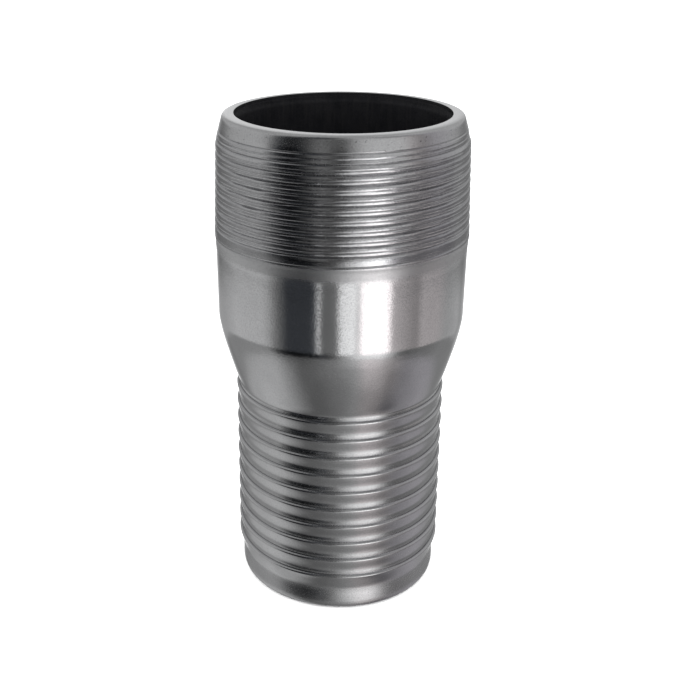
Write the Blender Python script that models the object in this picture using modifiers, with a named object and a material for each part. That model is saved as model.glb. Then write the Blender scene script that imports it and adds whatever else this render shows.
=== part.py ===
"""Combination hose nipple, 2 in: one length of steel pipe, threaded at one end and
swaged down to a ringed hose shank at the other. Metres, +Z up, the shank's end face
on z = 0 and the threaded end on top. The axis of the pipe is the Z axis."""

import math

import bmesh
import bpy
from mathutils import Vector

for ob in list(bpy.data.objects):
    bpy.data.objects.remove(ob, do_unlink=True)

MM = 0.001

# ---- driving sizes, millimetres -------------------------------------------------
LENGTH = 118.3            # end face to end face
STEPS = 48                # facets round the pipe

# 2 in - 11.5 NPT, right hand
PITCH = 25.4 / 11.5
TAPER = 1.0 / 32.0        # radius per length: 1 in 16 on the diameter
CREST_R_LOW = 30.16       # thread's crest radius where the thread runs out
THREAD_LOW = 90.0         # height where the thread runs out
THREAD_TOP = 112.0        # height of the first full crest
ROOT_DEPTH = 0.72         # groove depth below the flat crest
GROOVE_MOUTH = 0.98       # groove width at the crest
GROOVE_FLOOR = 0.26       # groove width at its root
FADE_TURNS = 1.0          # turns over which the groove runs out

# pipe body
RIM_INNER_R = 25.05       # mouth of the bore on the threaded end face
RIM_OUTER_R = 27.00
BORE_R = 24.50            # bore of the threaded half
MOUTH_DEPTH = 1.05        # deburring bevel at the mouth of the bore
BARREL_R = 29.80
BARREL_LOW_R = 29.60
SHOULDER_TOP = 69.6       # the swage starts here, going down
SHANK_BORE_R = 20.50

# hose shank
RINGS = 10
RING_PITCH = 4.60
RING_TOP = 50.95          # height of the first ring's edge
RING_R = 25.60
RING_ROOT_R = 25.12
TIP_R = 24.62
TIP_EDGE_R = 23.35


def coll(name):
    c = bpy.data.collections.new(name)
    bpy.context.scene.collection.children.link(c)
    return c


BODY = coll("combination_hose_nipple")
CUTTERS = coll("cutters")


def steel(name, color, rough):
    m = bpy.data.materials.new(name)
    m.use_nodes = True
    b = m.node_tree.nodes["Principled BSDF"]
    b.inputs["Base Color"].default_value = (*color, 1.0)
    b.inputs["Metallic"].default_value = 1.0
    b.inputs["Roughness"].default_value = rough
    return m


STEEL = steel("plated_steel", (0.42, 0.42, 0.44), 0.30)


def crest_r(z):
    return CREST_R_LOW - (z - THREAD_LOW) * TAPER


def outline():
    """The nipple's section, radius and height, down the outer side and up the bore."""
    pts = [
        (RIM_INNER_R, LENGTH),
        (RIM_OUTER_R, LENGTH),
        (27.62, LENGTH - 0.30),
        (28.00, LENGTH - 0.95),
        (28.24, LENGTH - 1.90),
        (28.62, LENGTH - 3.40),
        (29.05, LENGTH - 5.20),
        (crest_r(THREAD_TOP - 0.9), THREAD_TOP - 0.9),
        (crest_r(THREAD_LOW), THREAD_LOW),
        (crest_r(THREAD_LOW), THREAD_LOW - 0.9),
        (BARREL_R + 0.05, THREAD_LOW - 3.4),
        (BARREL_R, THREAD_LOW - 6.0),
        (BARREL_LOW_R, SHOULDER_TOP),
        (29.30, SHOULDER_TOP - 1.5),
        (28.42, SHOULDER_TOP - 5.6),
        (27.42, SHOULDER_TOP - 9.6),
        (RING_ROOT_R + 0.35, RING_TOP + 2.10),
        (RING_ROOT_R + 0.05, RING_TOP + 1.45),
        (RING_ROOT_R, RING_TOP + 0.62),
    ]
    for k in range(RINGS):
        z = RING_TOP - k * RING_PITCH
        pts += [(RING_R, z + 0.08), (RING_R - 0.02, z - 0.20)]
        if k < RINGS - 1:
            pts += [(RING_ROOT_R + 0.05, z - 3.10), (RING_ROOT_R, z - RING_PITCH + 0.62)]
    pts += [
        (TIP_R + 0.10, 6.60),
        (TIP_R, 5.90),
        (TIP_R, 2.60),
        (TIP_R - 0.36, 0.95),
        (TIP_EDGE_R, 0.0),
        (SHANK_BORE_R + 0.6, 0.0),
        (SHANK_BORE_R, 0.6),
        (SHANK_BORE_R, SHOULDER_TOP - 17.5),
        (BORE_R - 1.2, SHOULDER_TOP - 5.2),
        (BORE_R, SHOULDER_TOP - 0.4),
        (BORE_R, LENGTH - MOUTH_DEPTH),
    ]
    return pts


def turned(name, pts, steps):
    """A closed section turned round Z with the Screw modifier."""
    me = bpy.data.meshes.new(name)
    n = len(pts)
    me.from_pydata([(r * MM, 0.0, z * MM) for r, z in pts], [(i, (i + 1) % n) for i in range(n)], [])
    ob = bpy.data.objects.new(name, me)
    BODY.objects.link(ob)
    s = ob.modifiers.new("turn", "SCREW")
    s.axis = "Z"
    s.angle = 2 * math.pi
    s.steps = s.render_steps = steps
    s.use_merge_vertices = True
    s.merge_threshold = 0.00001
    s.use_normal_calculate = True
    return ob


def thread_cutter(name):
    """The V-shaped groove of the thread: its section carried round a tapered helix.
    It starts clear above the lead bevel and lifts out of the metal where it ends."""
    z_start = THREAD_TOP + 1.6
    turns = (z_start - (THREAD_LOW + 0.4)) / PITCH
    n = int(round(turns * STEPS))
    bm = bmesh.new()
    rows = []
    for i in range(n + 1):
        a = -2 * math.pi * i / STEPS
        zc = z_start - PITCH * i / STEPS
        left = (n - i) / STEPS
        lift = max(0.0, 1.0 - left / FADE_TURNS) * (ROOT_DEPTH + 0.12)
        r0 = crest_r(zc) - ROOT_DEPTH + lift
        r1 = crest_r(zc) + 0.55 + lift
        flank = (GROOVE_MOUTH - GROOVE_FLOOR) / 2 / ROOT_DEPTH
        w0 = GROOVE_FLOOR / 2
        w1 = w0 + flank * (r1 - r0)
        row = []
        for r, dz in ((r0, w0), (r1, w1), (r1, -w1), (r0, -w0)):
            row.append(bm.verts.new(Vector((r * math.cos(a), r * math.sin(a), zc + dz)) * MM))
        rows.append(row)
    for a, b in zip(rows, rows[1:]):
        for k in range(4):
            bm.faces.new((a[k], a[(k + 1) % 4], b[(k + 1) % 4], b[k]))
    bm.faces.new(rows[0])
    bm.faces.new(list(reversed(rows[-1])))
    bmesh.ops.recalc_face_normals(bm, faces=bm.faces)
    me = bpy.data.meshes.new(name)
    bm.to_mesh(me)
    bm.free()
    ob = bpy.data.objects.new(name, me)
    CUTTERS.objects.link(ob)
    ob.hide_render = True
    ob.display_type = "WIRE"
    return ob


nipple = turned("nipple_body", outline(), STEPS)
nipple.data.materials.append(STEEL)
cut = nipple.modifiers.new("thread", "BOOLEAN")
cut.operation = "DIFFERENCE"
cut.solver = "EXACT"
cut.object = thread_cutter("thread_groove")
for mod in nipple.modifiers:
    mod.show_render = mod.show_viewport

nipple.data.shade_smooth()
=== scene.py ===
import math

import bmesh
import bpy
import numpy as np
from mathutils import Matrix, Vector


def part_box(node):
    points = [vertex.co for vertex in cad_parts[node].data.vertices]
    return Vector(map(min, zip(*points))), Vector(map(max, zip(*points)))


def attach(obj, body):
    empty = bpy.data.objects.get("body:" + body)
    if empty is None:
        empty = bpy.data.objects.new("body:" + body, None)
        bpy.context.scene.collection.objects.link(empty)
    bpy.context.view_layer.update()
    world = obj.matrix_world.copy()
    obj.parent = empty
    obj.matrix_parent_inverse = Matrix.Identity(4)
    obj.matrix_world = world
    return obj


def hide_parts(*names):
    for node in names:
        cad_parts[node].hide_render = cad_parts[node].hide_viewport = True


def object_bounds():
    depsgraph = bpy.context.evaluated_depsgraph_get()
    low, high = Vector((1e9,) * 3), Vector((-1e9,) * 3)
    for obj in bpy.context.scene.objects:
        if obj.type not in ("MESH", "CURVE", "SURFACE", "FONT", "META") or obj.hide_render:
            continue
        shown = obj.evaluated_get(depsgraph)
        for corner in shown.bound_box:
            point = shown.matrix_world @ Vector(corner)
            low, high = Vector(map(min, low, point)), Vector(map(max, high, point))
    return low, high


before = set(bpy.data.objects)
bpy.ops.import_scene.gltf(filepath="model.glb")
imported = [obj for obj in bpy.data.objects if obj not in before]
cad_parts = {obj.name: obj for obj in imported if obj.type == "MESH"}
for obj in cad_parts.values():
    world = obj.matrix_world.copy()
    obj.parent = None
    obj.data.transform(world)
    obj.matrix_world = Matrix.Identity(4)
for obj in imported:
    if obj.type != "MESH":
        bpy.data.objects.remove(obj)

cad_lo, cad_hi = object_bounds()
body_lo, body_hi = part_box("nipple_body")
scene = bpy.context.scene
scene.view_settings.view_transform = "Standard"
scene.view_settings.look = "None"
scene.view_settings.exposure = 0.0
scene.view_settings.gamma = 1.0

MM = 0.001
CX = (body_lo[0] + body_hi[0]) / 2
CY = (body_lo[1] + body_hi[1]) / 2
Z0 = body_lo[2]
LENGTH = (body_hi[2] - body_lo[2]) / MM   # end face to end face, in millimetres
MAX_R = (body_hi[0] - body_lo[0]) / 2 / MM

# ------------------------------------------------------------------ camera
# A pinhole at the photograph's viewing angle, about 35 degrees above the foot of the part.
PITCH_DOWN, YAW, ROLL = 0.36267, -0.04836, -0.00249
FOCAL, FRAME_PX, CENTRE_PX = 1092.565, 700.0, (296.301, 297.348)
right0 = Vector((math.cos(YAW), -math.sin(YAW), 0.0))
fwd = Vector((math.cos(PITCH_DOWN) * math.sin(YAW), math.cos(PITCH_DOWN) * math.cos(YAW), -math.sin(PITCH_DOWN)))
up0 = Vector((math.sin(PITCH_DOWN) * math.sin(YAW), math.sin(PITCH_DOWN) * math.cos(YAW), math.cos(PITCH_DOWN)))
right = math.cos(ROLL) * right0 + math.sin(ROLL) * up0
up = math.cos(ROLL) * up0 - math.sin(ROLL) * right0
cam_data = bpy.data.cameras.new("view")
cam_data.sensor_width = 36.0
cam_data.lens = 36.0 * FOCAL / FRAME_PX
cam_data.shift_x = (FRAME_PX / 2 - CENTRE_PX[0]) / FRAME_PX
cam_data.shift_y = -(FRAME_PX / 2 - CENTRE_PX[1]) / FRAME_PX
cam_data.clip_start, cam_data.clip_end = 0.01, 20.0
camera = bpy.data.objects.new("view", cam_data)
scene.collection.objects.link(camera)
rot = Matrix((right, up, -fwd)).transposed()
camera.matrix_world = Matrix.Translation(Vector((CX + 1.247 * MM, CY - 248.984 * MM, Z0 + 166.878 * MM))) @ rot.to_4x4()
scene.camera = camera

# ------------------------------------------------------------------ the shape
PITCH = 25.4 / 11.5          # 2 in - 11.5 NPT
TAPER = 1.0 / 32.0
ROOT_Z = 110.30              # a thread root's height at the front, -Y
DEPTH = 0.62                 # groove depth below the crest
MOUTH, FLOOR = 0.62, 0.12    # groove widths
SEAM = 0.97                  # the fine seam in the middle of each crest, height above the root
COLS = 252


def crest_r(z):
    return 30.16 - (z - 90.0) * TAPER


def smooth(a, b, x):
    t = np.clip((np.asarray(x, float) - a) / (b - a), 0.0, 1.0)
    return t * t * (3 - 2 * t)


# outer outline above the swage, radius against height, without the thread
OUT_Z = np.array([69.6, 75.0, 84.0, 86.4, 87.8, 89.0, 89.4, 89.7, 90.0, 111.3, 112.0, 113.1, 114.9, 116.2, 117.0, 117.5, 117.85, 118.07, 118.22, 118.3])
OUT_R = np.array([29.66, 29.71, 29.82, 29.85, 29.92, 30.01, 30.06, 30.12, 30.15, crest_r(111.3), 29.40, 29.07, 28.62, 28.27, 28.06, 27.92, 27.74, 27.46, 27.05, 26.6])


def outline(z):
    return np.interp(z, OUT_Z, OUT_R)


rng = np.random.default_rng(7)
knots = rng.uniform(-1, 1, 4096)


def wander(x, seed=0):
    """Smooth repeatable noise in one variable, -1 to 1."""
    x = np.asarray(x, float) + seed * 37.17
    i = np.floor(x).astype(int)
    t = x - i
    t = t * t * (3 - 2 * t)
    a, b = knots[i % 4096], knots[(i + 1) % 4096]
    return a * (1 - t) + b * t


# ---- rows of the section: (radius, height, helical share, painted crevice shade), from the foot up the outer side
rows = []


def row(r, z, w=0.0, painted_shade=0.0):
    rows.append((r, z, w, painted_shade))


RING_TOP, RING_PITCH = 50.95, 4.60
# foot and tip band
for r, z in ((23.60, 0.0), (24.00, 0.08), (24.36, 0.34), (24.60, 0.80), (24.72, 1.40), (24.75, 2.20), (24.69, 4.20), (24.65, 5.60), (24.69, 6.00), (24.76, 6.35), (24.92, 7.00)):
    row(r, z)
# rings, lowest first
for k in range(9, -1, -1):
    z = RING_TOP - k * RING_PITCH
    if k == 9:
        row(25.24, z - 1.55)
        row(25.56, z - 0.24)
    row(25.63, z - 0.10)
    row(25.64, z + 0.06)
    row(25.57, z + 0.19)
    # painted shade down each ring's step
    row(25.30, z + 0.36, painted_shade=0.35)
    row(25.06, z + 0.46, painted_shade=1.0)
    row(25.08, z + 0.56, painted_shade=0.7)
    row(25.10, z + 0.72)
    row(25.10, z + 1.30)
    if k > 0:
        for up, r in ((1.65, 25.105), (2.05, 25.135), (2.45, 25.20), (2.95, 25.31), (3.5, 25.44), (4.05, 25.56), (4.34, 25.61)):
            row(r, z + up)
# swage
for r, z in ((25.105, 52.5), (25.21, 53.05), (25.62, 54.2), (26.38, 56.4), (27.40, 59.8), (28.54, 63.8), (29.14, 66.4), (29.36, 67.6), (29.51, 68.6), (29.61, 69.3), (29.66, 70.0)):
    row(r, z)
for z in (70.8, 73.0, 77.0, 81.0, 84.0, 85.2):
    row(outline(z), z)
first_helical = len(rows) - 1
# threaded band: rows follow the helix
offsets = [-0.06, 0.06, 0.18, 0.28, 0.34, 0.60, SEAM - 0.10, SEAM - 0.03, SEAM + 0.03, SEAM + 0.11, 1.40, 1.70, 1.87, 1.95]
for z in (86.0, 86.8, 87.5):
    row(0, z, 1.0)
k = -10
base = ROOT_Z - 10 * PITCH
z = base
while z < 115.0:
    for o in offsets:
        if z + o < 115.1 and z + o > 88.0:
            row(0, z + o, 1.0)
    z += PITCH
for z in (115.35, 116.0, 116.6, 117.1, 117.5, 117.75, 117.98, 118.15, 118.27):
    row(0, z, 1.0)
last_helical = len(rows)
# rim, bore mouth, bore, foot
for r, z in ((26.50, LENGTH), (26.30, LENGTH), (25.22, LENGTH), (25.08, LENGTH - 0.03), (25.02, LENGTH - 0.12), (24.97, LENGTH - 0.62), (24.93, LENGTH - 1.25), (24.86, LENGTH - 1.50),
             (24.50, LENGTH - 3.0), (24.50, 108.0), (24.50, 96.0), (24.50, 82.0), (24.50, 70.2), (24.36, 68.6), (23.3, 64.4), (21.9, 58.2), (20.72, 53.2), (20.50, 51.8),
             (20.50, 40.0), (20.50, 24.0), (20.50, 8.0), (20.50, 0.9), (20.56, 0.62), (21.04, 0.10), (21.20, 0.0), (22.2, 0.0)):
    row(r, z)
M = len(rows)
phi = (np.arange(COLS) + 0.5) / COLS * 2 * np.pi - np.pi      # from -Y towards +X

R = np.zeros((M, COLS))
Z = np.zeros((M, COLS))
PAINTED_SHADE = np.zeros((M, COLS))      # painted shade in crevices and along the crest seam
TN = np.zeros((M, COLS))      # torn thread surface
MT = np.zeros((M, COLS))      # matte band left by the die below the thread, and the foot
for i, (r, z, w, g) in enumerate(rows):
    if w == 0:
        R[i] = r
        Z[i] = z
        PAINTED_SHADE[i] = g
        continue
    share = float(smooth(85.2, 88.2, z) * (1 - smooth(114.9, 118.25, z)))
    zz = z + share * PITCH * phi / (2 * np.pi)
    Z[i] = zz
    rr = outline(zz)
    # the nearest root: its turn number, and the height measured from it
    turn = np.round((zz - ROOT_Z) / PITCH - phi / (2 * np.pi))
    h = ROOT_Z + PITCH * (turn + phi / (2 * np.pi))
    t = zz - h
    along = turn * 2 * np.pi + phi                       # angle run along the helix
    depth = DEPTH * (1 + 0.10 * wander(along * 3.1, 1) + 0.05 * wander(along * 11.0, 2))
    depth = depth * smooth(89.2, 93.2, h) + 0.06 * smooth(88.9, 89.8, h) * (1 - smooth(91.0, 93.0, h))
    flank = DEPTH / (MOUTH / 2 - FLOOR / 2)
    depth = np.minimum(depth, DEPTH * 1.08) + 0.34 * smooth(113.2, 114.4, h)      # the die just marks the lead bevel
    floor_r = crest_r(h) - depth + flank * np.maximum(0.0, np.abs(t) - FLOOR / 2)
    inside = floor_r < rr
    depth_here = np.clip(rr - floor_r, 0, None)
    # each crest: its lower half leans in a little, a fine torn seam runs along its
    # middle, and its upper half rolls over towards the next groove
    s = (t % PITCH)
    roll = np.clip((s - SEAM - 0.12) / (PITCH - MOUTH / 2 - SEAM - 0.12), 0, 1)
    torn = 1 + 0.45 * wander(along * 7.3, 3) + 0.35 * wander(along * 17.0, 4)
    lean = -0.055 * np.clip((SEAM - s) / (SEAM - MOUTH / 2), 0, 1)
    seam = -0.085 * np.clip(torn, 0.1, 2.0) * np.exp(-((s - SEAM) / 0.045) ** 2)
    lip = 0.020 * np.exp(-((s - SEAM - 0.12) / 0.05) ** 2) * np.clip(torn, 0, 1.6)
    land = lean + seam + lip - 0.10 * roll ** 2.0
    full = smooth(90.6, 92.6, h) * (1 - smooth(113.0, 114.6, h))
    rr_land = rr + full * land - 0.020 * full
    rr = np.where(inside, np.minimum(floor_r, rr_land), rr_land)
    R[i] = np.minimum(rr, MAX_R - 0.005)
    # painted shade: darker deep in the thread groove and along the crest seam
    PAINTED_SHADE[i] = np.maximum(np.where(inside, np.where(t < 0, 0.7 * np.clip(depth_here / 0.2, 0, 1), 0.6 * np.clip(depth_here / 0.45, 0, 1)), 0.0), full * 0.8 * np.exp(-((s - SEAM) / 0.05) ** 2))
    TN[i] = smooth(89.3, 90.6, zz) * (1 - smooth(114.0, 115.2, zz))

MT += 0.16 * (1 - smooth(50.0, 54.0, Z)) + smooth(86.3, 87.6, Z) * (1 - smooth(89.6, 90.4, Z)) + 0.42 * (1 - smooth(5.5, 7.0, Z)) + 0.5 * smooth(114.8, 116.0, Z)
MT *= np.arange(M)[:, None] < last_helical + 5

# slight out-of-true in the plain surfaces, as on a drawn and swaged pipe
plain = np.ones((M, COLS))
wob = 0.012 * np.sin(3 * phi + 0.7) + 0.008 * np.sin(5 * phi + 2.1)
for i, (r, z, w, g) in enumerate(rows):
    if i < last_helical and 52.5 < z:
        R[i] += wob * float(smooth(52.5, 60, z)) * float(1 - smooth(86, 90, z))
np.clip(R, 0, MAX_R - 0.004, out=R)

# the threaded end face was not cut quite square: it falls away towards the back
skew = 0.42 * (1 - np.cos(phi)) / 2
top_part = smooth(113.5, 117.5, Z) * ((np.arange(M) >= first_helical) & (np.arange(M) < last_helical + 7))[:, None]
Z -= skew[None, :] * top_part

X = CX + R * MM * np.sin(phi)[None, :]
Y = CY - R * MM * np.cos(phi)[None, :]
ZZ = Z0 + np.clip(Z, 0.0, LENGTH) * MM
verts = np.stack([X, Y, ZZ], -1).reshape(-1, 3)


def vid(i, j):
    return (i % M) * COLS + (j % COLS)


faces = []
for j in range(COLS - 1):
    for i in range(M):
        faces.append((vid(i, j), vid(i, j + 1), vid(i + 1, j + 1), vid(i + 1, j)))
# the strip across the seam of the helix, at the back: rows there meet a turn apart
jl, jr = COLS - 1, 0
for i in list(range(0, first_helical)) + list(range(last_helical, M)):
    faces.append((vid(i, jl), vid(i, jr), vid(i + 1, jr), vid(i + 1, jl)))
a = b = first_helical
while a < last_helical or b < last_helical:
    if b >= last_helical or (a < last_helical and Z[a + 1, jl] <= Z[b + 1, jr]):
        faces.append((vid(a, jl), vid(b, jr), vid(a + 1, jl)))
        a += 1
    else:
        faces.append((vid(a, jl), vid(b, jr), vid(b + 1, jr)))
        b += 1

me = bpy.data.meshes.new("nipple_visual")
me.from_pydata(verts.tolist(), [], faces)
me.update()
nipple = bpy.data.objects.new("nipple_visual", me)
scene.collection.objects.link(nipple)
LEAD = smooth(113.6, 114.4, Z) * (1 - smooth(117.2, 118.0, Z)) * (np.arange(M) < last_helical)[:, None]
for name, data in (("painted_shade", PAINTED_SHADE), ("torn", TN), ("matte", MT), ("lead", LEAD)):
    at = me.attributes.new(name, "FLOAT", "POINT")
    at.data.foreach_set("value", data.reshape(-1).astype(np.float32))
bm = bmesh.new()
bm.from_mesh(me)
bmesh.ops.recalc_face_normals(bm, faces=bm.faces)
bm.to_mesh(me)
bm.free()
me.shade_smooth()


# ------------------------------------------------------------------ materials
def node(nt, kind, x=0, y=0, **values):
    n = nt.nodes.new(kind)
    n.location = (x, y)
    for k, v in values.items():
        setattr(n, k, v)
    return n


def link(nt, a, b):
    nt.links.new(a, b)


def math_node(nt, op, a, b=None, c=None, clamp=False):
    n = node(nt, "ShaderNodeMath", operation=op, use_clamp=clamp)
    for slot, v in enumerate((a, b, c)):
        if v is None:
            continue
        if isinstance(v, (int, float)):
            n.inputs[slot].default_value = v
        else:
            link(nt, v, n.inputs[slot])
    return n.outputs[0]


def noise(nt, vec, scale, detail=2.0, rough=0.5):
    n = node(nt, "ShaderNodeTexNoise")
    n.inputs["Scale"].default_value = scale
    n.inputs["Detail"].default_value = detail
    n.inputs["Roughness"].default_value = rough
    link(nt, vec, n.inputs["Vector"])
    return n.outputs["Fac"]


def scaled(nt, vec, sx, sy, sz):
    n = node(nt, "ShaderNodeVectorMath", operation="MULTIPLY")
    link(nt, vec, n.inputs[0])
    n.inputs[1].default_value = (sx, sy, sz)
    return n.outputs[0]


def ramp(nt, fac, stops, interpolation="LINEAR"):
    n = node(nt, "ShaderNodeValToRGB")
    cr = n.color_ramp
    cr.interpolation = interpolation
    while len(cr.elements) > 1:
        cr.elements.remove(cr.elements[-1])
    cr.elements[0].position = stops[0][0]
    cr.elements[0].color = stops[0][1]
    for p, c in stops[1:]:
        e = cr.elements.new(p)
        e.color = c
    link(nt, fac, n.inputs["Fac"])
    return n.outputs["Color"]


def span(nt, value, a, b, c, d, smooth_step=False):
    n = node(nt, "ShaderNodeMapRange", interpolation_type="SMOOTHSTEP" if smooth_step else "LINEAR")
    link(nt, value, n.inputs["Value"])
    for name, v in (("From Min", a), ("From Max", b), ("To Min", c), ("To Max", d)):
        n.inputs[name].default_value = v
    return n.outputs["Result"]


def mix(nt, fac, a, b, blend="MIX"):
    n = node(nt, "ShaderNodeMix", data_type="RGBA", blend_type=blend)
    for name, v in ((0, fac), (6, a), (7, b)):
        if isinstance(v, (int, float)):
            n.inputs[name].default_value = v
        elif isinstance(v, tuple):
            n.inputs[name].default_value = v
        else:
            link(nt, v, n.inputs[name])
    return n.outputs[2]


def bump(nt, height, distance, normal=None, strength=1.0):
    n = node(nt, "ShaderNodeBump")
    n.inputs["Strength"].default_value = strength
    n.inputs["Distance"].default_value = distance
    link(nt, height, n.inputs["Height"])
    if normal is not None:
        link(nt, normal, n.inputs["Normal"])
    return n.outputs["Normal"]


def plated_steel():
    m = bpy.data.materials.new("plated_steel")
    m.use_nodes = True
    nt = m.node_tree
    b = nt.nodes["Principled BSDF"]
    b.inputs["Metallic"].default_value = 1.0
    pos = node(nt, "ShaderNodeTexCoord").outputs["Object"]
    p = scaled(nt, pos, 1000, 1000, 1000)                # millimetres
    painted_shade = node(nt, "ShaderNodeAttribute", attribute_name="painted_shade").outputs["Fac"]
    torn = node(nt, "ShaderNodeAttribute", attribute_name="torn").outputs["Fac"]
    matte = node(nt, "ShaderNodeAttribute", attribute_name="matte").outputs["Fac"]
    speck = noise(nt, p, 2.6, 2.0, 0.6)
    coarse = noise(nt, p, 0.9, 2.0, 0.5)
    cloud = noise(nt, p, 0.10, 3.0, 0.55)
    lines = noise(nt, scaled(nt, p, 0.30, 0.30, 5.0), 1.0, 3.0, 0.6)
    tears = noise(nt, scaled(nt, p, 1.1, 1.1, 5.0), 1.0, 3.0, 0.6)
    # colour: a bright, slightly cool plating that goes duller in patches, with painted shade darkening the crevices
    c = mix(nt, span(nt, cloud, 0.35, 0.65, 0, 1), (0.472, 0.472, 0.474, 1), (0.520, 0.521, 0.522, 1))
    c = mix(nt, span(nt, speck, 0.42, 0.72, 0.0, 0.45), c, (0.38, 0.379, 0.384, 1))
    c = mix(nt, math_node(nt, "MULTIPLY", torn, 0.35), c, (0.38, 0.380, 0.386, 1))
    c = mix(nt, math_node(nt, "MULTIPLY", span(nt, tears, 0.54, 0.72, 0.0, 0.5), torn), c, (0.22, 0.215, 0.235, 1))
    # painted shade: thread roots, ring steps and crest seams pulled towards near black
    c = mix(nt, math_node(nt, "MULTIPLY", painted_shade, 0.55), c, (0.15, 0.15, 0.165, 1))
    # small pits where the die first bites into the lead bevel
    lead = node(nt, "ShaderNodeAttribute", attribute_name="lead").outputs["Fac"]
    pits = math_node(nt, "MULTIPLY", span(nt, noise(nt, scaled(nt, p, 1.5, 1.5, 2.6), 1.0, 2.0, 0.65), 0.665, 0.72, 0.0, 0.85), lead)
    c = mix(nt, pits, c, (0.045, 0.045, 0.05, 1))
    link(nt, c, b.inputs["Base Color"])
    r = math_node(nt, "ADD", span(nt, cloud, 0.3, 0.7, 0.075, 0.115), span(nt, speck, 0.4, 0.75, 0.0, 0.07))
    r = math_node(nt, "ADD", r, math_node(nt, "MULTIPLY", torn, 0.045))
    r = math_node(nt, "ADD", r, math_node(nt, "MULTIPLY", matte, 0.22))
    r = math_node(nt, "ADD", r, math_node(nt, "MULTIPLY", painted_shade, 0.12), clamp=True)
    link(nt, r, b.inputs["Roughness"])
    n = bump(nt, cloud, 0.00005)
    n = bump(nt, coarse, 0.000004, n)
    n = bump(nt, speck, 0.000011, n)
    n = bump(nt, math_node(nt, "MULTIPLY", lines, math_node(nt, "MULTIPLY_ADD", torn, 0.9, 0.1)), 0.000010, n)
    n = bump(nt, math_node(nt, "MULTIPLY", tears, torn), 0.000010, n)
    link(nt, n, b.inputs["Normal"])
    return m


def bore_scale_and_shade():
    m = bpy.data.materials.new("bore_scale_and_shade")
    m.use_nodes = True
    nt = m.node_tree
    b = nt.nodes["Principled BSDF"]
    b.inputs["Metallic"].default_value = 0.0
    b.inputs["Specular IOR Level"].default_value = 0.12
    pos = node(nt, "ShaderNodeTexCoord").outputs["Object"]
    p = scaled(nt, pos, 1000, 1000, 1000)
    patch = noise(nt, p, 0.16, 4.0, 0.6)
    streak = noise(nt, scaled(nt, p, 1.4, 1.4, 0.12), 1.0, 3.0, 0.6)
    grain = noise(nt, p, 2.2, 3.0, 0.6)
    # colour: dark scale, with painted shade taking it down to near black all through the bore
    c = mix(nt, span(nt, patch, 0.35, 0.65, 0, 1), (0.0030, 0.0032, 0.0045, 1), (0.0055, 0.0055, 0.0068, 1))
    c = mix(nt, span(nt, streak, 0.45, 0.70, 0, 0.6), c, (0.0085, 0.0080, 0.0085, 1))
    link(nt, c, b.inputs["Base Color"])
    link(nt, span(nt, grain, 0.3, 0.7, 0.55, 0.75), b.inputs["Roughness"])
    link(nt, bump(nt, grain, 0.00002, bump(nt, streak, 0.00004)), b.inputs["Normal"])
    return m


me.materials.append(plated_steel())
me.materials.append(bore_scale_and_shade())
# bore faces take the near-black scale and painted shade
bore_from = last_helical + 3
bore_to = M - 4
dark = np.zeros(len(me.polygons), np.int32)
corner = np.zeros(len(me.loops), np.int32)
me.loops.foreach_get("vertex_index", corner)
start = np.zeros(len(me.polygons), np.int32)
total = np.zeros(len(me.polygons), np.int32)
me.polygons.foreach_get("loop_start", start)
me.polygons.foreach_get("loop_total", total)
row_of = corner // COLS
lowest = np.minimum.reduceat(row_of, start)
highest = np.maximum.reduceat(row_of, start)
dark[(lowest >= bore_from) & (highest <= bore_to)] = 1
me.polygons.foreach_set("material_index", dark)
me.update()

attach(nipple, "root")
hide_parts("nipple_body")

# ------------------------------------------------------------------ stage
floor_me = bpy.data.meshes.new("floor")
half = 3.0
floor_me.from_pydata([(-half, -half, 0), (half, -half, 0), (half, half, 0), (-half, half, 0)], [], [(0, 1, 2, 3)])
floor = bpy.data.objects.new("floor", floor_me)
scene.collection.objects.link(floor)
floor.location = (CX, CY, cad_lo[2] - 0.0001)
fm = bpy.data.materials.new("floor_paper")
fm.use_nodes = True
fnt = fm.node_tree
fb = fnt.nodes["Principled BSDF"]
fb.inputs["Roughness"].default_value = 0.9
fb.inputs["Specular IOR Level"].default_value = 0.0
fpos = node(fnt, "ShaderNodeTexCoord").outputs["Object"]
grain = noise(fnt, fpos, 220.0, 3.0, 0.6)
link(fnt, mix(fnt, span(fnt, grain, 0.3, 0.7, 0, 1), (0.80, 0.80, 0.80, 1), (0.84, 0.84, 0.84, 1)), fb.inputs["Base Color"])
floor_me.materials.append(fm)
floor.visible_glossy = False


def lin(v):
    """8-bit display value to linear light."""
    v = v / 255.0
    return v / 12.92 if v <= 0.04045 else ((v + 0.055) / 1.055) ** 2.4


BASE = 0.47      # mean reflectance of the plating


def grey(v, tint=(1.0, 1.0, 1.0)):
    g = lin(v) / BASE
    return (g * tint[0], g * tint[1], g * tint[2], 1.0)


world = bpy.data.worlds.new("studio")
scene.world = world
world.use_nodes = True
wt = world.node_tree
wt.nodes.clear()
out = node(wt, "ShaderNodeOutputWorld")
d = node(wt, "ShaderNodeTexCoord").outputs["Generated"]
sep = node(wt, "ShaderNodeSeparateXYZ")
link(wt, d, sep.inputs[0])
neg_y = math_node(wt, "MULTIPLY", sep.outputs[1], -1.0)
az = math_node(wt, "ARCTAN2", sep.outputs[0], neg_y)
u = math_node(wt, "MULTIPLY_ADD", az, 1 / (2 * math.pi), 0.5)


def at(deg):
    return (deg + 180.0) / 360.0


COOL, DARK, WARM, PLUM = (0.995, 1.0, 1.008), (0.91, 0.985, 1.13), (1.04, 0.975, 0.985), (1.005, 0.975, 1.04)


def stops(points):
    """Colour stops from (degrees, display value, tint)."""
    assert len(points) <= 32
    return [(at(d), grey(v, t)) for d, v, t in points]


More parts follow.
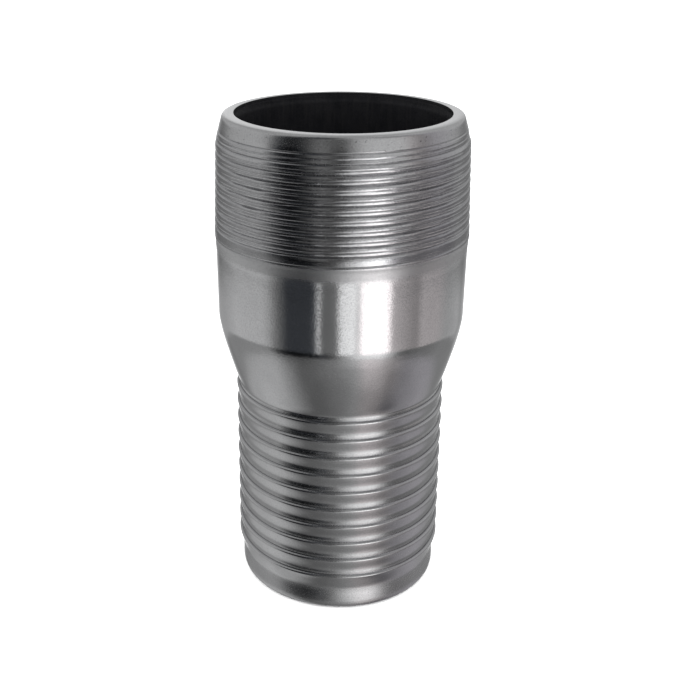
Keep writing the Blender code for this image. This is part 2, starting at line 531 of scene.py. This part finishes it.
# what the plating mirrors, by azimuth: seen by upright walls, and seen by walls that lean in
SIDE = [
    (-180, 196, COOL), (-167, 204, COOL), (-156, 124, COOL), (-134, 138, COOL), (-112, 160, COOL), (-76, 158, COOL), (-69, 144, COOL), (-60, 98, COOL),
    (-50, 50, DARK), (-26, 50, DARK), (-22, 66, DARK), (-20.5, 180, COOL), (-18.5, 180, COOL), (-17, 88, COOL), (-3, 96, COOL), (0.5, 210, COOL),
    (13, 226, COOL), (16, 160, COOL), (21, 270, WARM), (44, 270, WARM), (49, 160, WARM), (66, 130, WARM), (72, 118, WARM), (76, 122, WARM),
    (80, 150, WARM), (100, 146, WARM), (115, 136, COOL), (137, 142, COOL), (148, 120, COOL), (160, 140, COOL), (170, 190, COOL), (180, 196, COOL),
]
# the same nearer the horizon, where the threaded band looks
NEAR = [
    (-180, 178, COOL), (-167, 188, COOL), (-156, 112, COOL), (-146, 84, COOL), (-128, 102, COOL), (-101, 124, COOL), (-81, 116, COOL), (-70, 108, COOL),
    (-62, 80, COOL), (-52, 28, DARK), (-45, 10, DARK), (-35, 6, DARK), (-24, 18, DARK), (-14, 48, COOL), (-5, 62, COOL), (1, 108, COOL),
    (8, 176, COOL), (16, 220, COOL), (23, 260, COOL), (28, 286, COOL), (36, 288, COOL), (44, 150, PLUM), (50, 110, PLUM), (58, 86, PLUM),
    (72, 88, PLUM), (90, 98, PLUM), (106, 90, PLUM), (124, 106, COOL), (146, 96, COOL), (158, 112, COOL), (169, 168, COOL), (180, 178, COOL),
]
# above the horizon: the lead bevel and the upper lips
HIGH = [
    (-180, 172, COOL), (-167, 180, COOL), (-156, 136, COOL), (-146, 134, COOL), (-129, 150, COOL), (-104, 148, COOL), (-85, 150, COOL), (-75, 150, COOL),
    (-69, 108, COOL), (-62, 46, DARK), (-54, 12, DARK), (-44, 12, DARK), (-37, 30, DARK), (-29, 66, COOL), (-19, 98, COOL), (-12, 88, COOL),
    (-6, 62, COOL), (3, 62, COOL), (9, 116, COOL), (15, 146, COOL), (24, 158, COOL), (40, 160, COOL), (56, 162, COOL), (65, 144, WARM),
    (76, 108, WARM), (91, 134, PLUM), (124, 150, COOL), (146, 140, COOL), (158, 142, COOL), (169, 166, COOL), (180, 172, COOL),
]
# just under the upright walls: the lower half of every ring's land
RING = [
    (-180, 170, COOL), (-167, 180, COOL), (-156, 112, COOL), (-147, 96, COOL), (-140, 112, COOL), (-100, 122, COOL), (-74, 120, COOL), (-64, 70, COOL),
    (-56, 22, DARK), (-40, 8, DARK), (-26, 16, DARK), (-16, 44, DARK), (-8, 66, COOL), (0, 110, COOL), (10, 164, COOL), (20, 200, COOL),
    (40, 218, COOL), (50, 160, COOL), (59, 96, COOL), (68, 80, COOL), (84, 92, COOL), (115, 110, COOL), (147, 104, COOL), (158, 112, COOL),
    (169, 162, COOL), (180, 170, COOL),
]
# lower and lower again: the swage, from its corner to its foot
LOW_A = [
    (-180, 160, COOL), (-167, 166, COOL), (-157, 122, COOL), (-147, 120, COOL), (-133, 140, COOL), (-102, 150, COOL), (-84, 151, COOL), (-73, 147, COOL),
    (-54, 99, COOL), (-40, 74, COOL), (-26, 86, COOL), (-4, 112, COOL), (4, 130, COOL), (15, 152, COOL), (28, 186, WARM), (40, 170, WARM),
    (56, 128, WARM), (75, 112, PLUM), (95, 126, PLUM), (118, 130, PLUM), (147, 118, COOL), (158, 120, COOL), (169, 152, COOL), (180, 160, COOL),
]
LOW_B = [
    (-180, 150, COOL), (-167, 156, COOL), (-160, 118, COOL), (-152, 112, COOL), (-111, 154, COOL), (-97, 156, COOL), (-78, 152, COOL), (-60, 118, COOL),
    (-46, 80, COOL), (-30, 84, COOL), (-4, 108, COOL), (5, 118, COOL), (18, 134, COOL), (33, 160, WARM), (47, 146, WARM), (63, 106, WARM),
    (81, 108, PLUM), (102, 120, PLUM), (129, 128, PLUM), (147, 116, COOL), (158, 116, COOL), (169, 144, COOL), (180, 150, COOL),
]
LOW_C = [
    (-180, 138, COOL), (-167, 142, COOL), (-156, 108, COOL), (-146, 108, COOL), (-127, 124, COOL), (-93, 142, COOL), (-71, 136, COOL), (-55, 106, COOL),
    (-40, 80, COOL), (-25, 82, COOL), (-5, 96, COOL), (6, 102, COOL), (22, 116, COOL), (41, 124, WARM), (57, 110, WARM), (70, 84, PLUM),
    (80, 80, PLUM), (97, 98, PLUM), (122, 120, PLUM), (147, 110, COOL), (158, 108, COOL), (169, 132, COOL), (180, 138, COOL),
]
side = ramp(wt, u, stops(SIDE))
near = ramp(wt, u, stops(NEAR))
high = ramp(wt, u, stops(HIGH))
ring = ramp(wt, u, stops(RING))
low_a = ramp(wt, u, stops(LOW_A))
low_b = ramp(wt, u, stops(LOW_B))
low_c = ramp(wt, u, stops(LOW_C))
sky = ramp(wt, u, stops([(-180, 132, COOL), (-100, 138, COOL), (-76, 134, COOL), (-62, 84, COOL), (-46, 46, DARK), (-30, 52, DARK), (-16, 66, COOL), (0, 98, COOL),
                          (15, 130, COOL), (32, 156, COOL), (46, 132, COOL), (62, 112, COOL), (80, 120, PLUM), (110, 150, COOL), (180, 132, COOL)]))
# one band of the surroundings above another, by elevation in degrees
deg = math_node(wt, "MULTIPLY", math_node(wt, "ARCSINE", sep.outputs[2]), 180 / math.pi)
col = mix(wt, span(wt, deg, -58.0, -51.0, 0.0, 1.0, True), low_c, low_b)
col = mix(wt, span(wt, deg, -49.0, -43.0, 0.0, 1.0, True), col, low_a)
col = mix(wt, span(wt, deg, -41.0, -35.0, 0.0, 1.0, True), col, ring)
col = mix(wt, span(wt, deg, -29.5, -26.5, 0.0, 1.0, True), col, side)
col = mix(wt, span(wt, deg, -21.5, -18.5, 0.0, 1.0, True), col, near)
col = mix(wt, span(wt, deg, -3.0, 4.0, 0.0, 1.0, True), col, high)
col = mix(wt, span(wt, deg, 34.0, 46.0, 0.0, 1.0, True), col, sky)
studio = node(wt, "ShaderNodeBackground")
link(wt, col, studio.inputs["Color"])
flat = node(wt, "ShaderNodeBackground")
flat.inputs["Color"].default_value = (1, 1, 1, 1)
flat.inputs["Strength"].default_value = 2.6
seen = node(wt, "ShaderNodeBackground")
seen.inputs["Color"].default_value = (1, 1, 1, 1)
seen.inputs["Strength"].default_value = 1.0
lp = node(wt, "ShaderNodeLightPath")
m1 = node(wt, "ShaderNodeMixShader")
link(wt, lp.outputs["Is Glossy Ray"], m1.inputs[0])
link(wt, flat.outputs[0], m1.inputs[1])
link(wt, studio.outputs[0], m1.inputs[2])
m2 = node(wt, "ShaderNodeMixShader")
link(wt, lp.outputs["Is Camera Ray"], m2.inputs[0])
link(wt, m1.outputs[0], m2.inputs[1])
link(wt, seen.outputs[0], m2.inputs[2])
link(wt, m2.outputs[0], out.inputs["Surface"])
if hasattr(world, "cycles"):
    world.cycles.sampling_method = "NONE"

print("section rows", M, "triangles", sum(len(f) - 2 for f in faces))
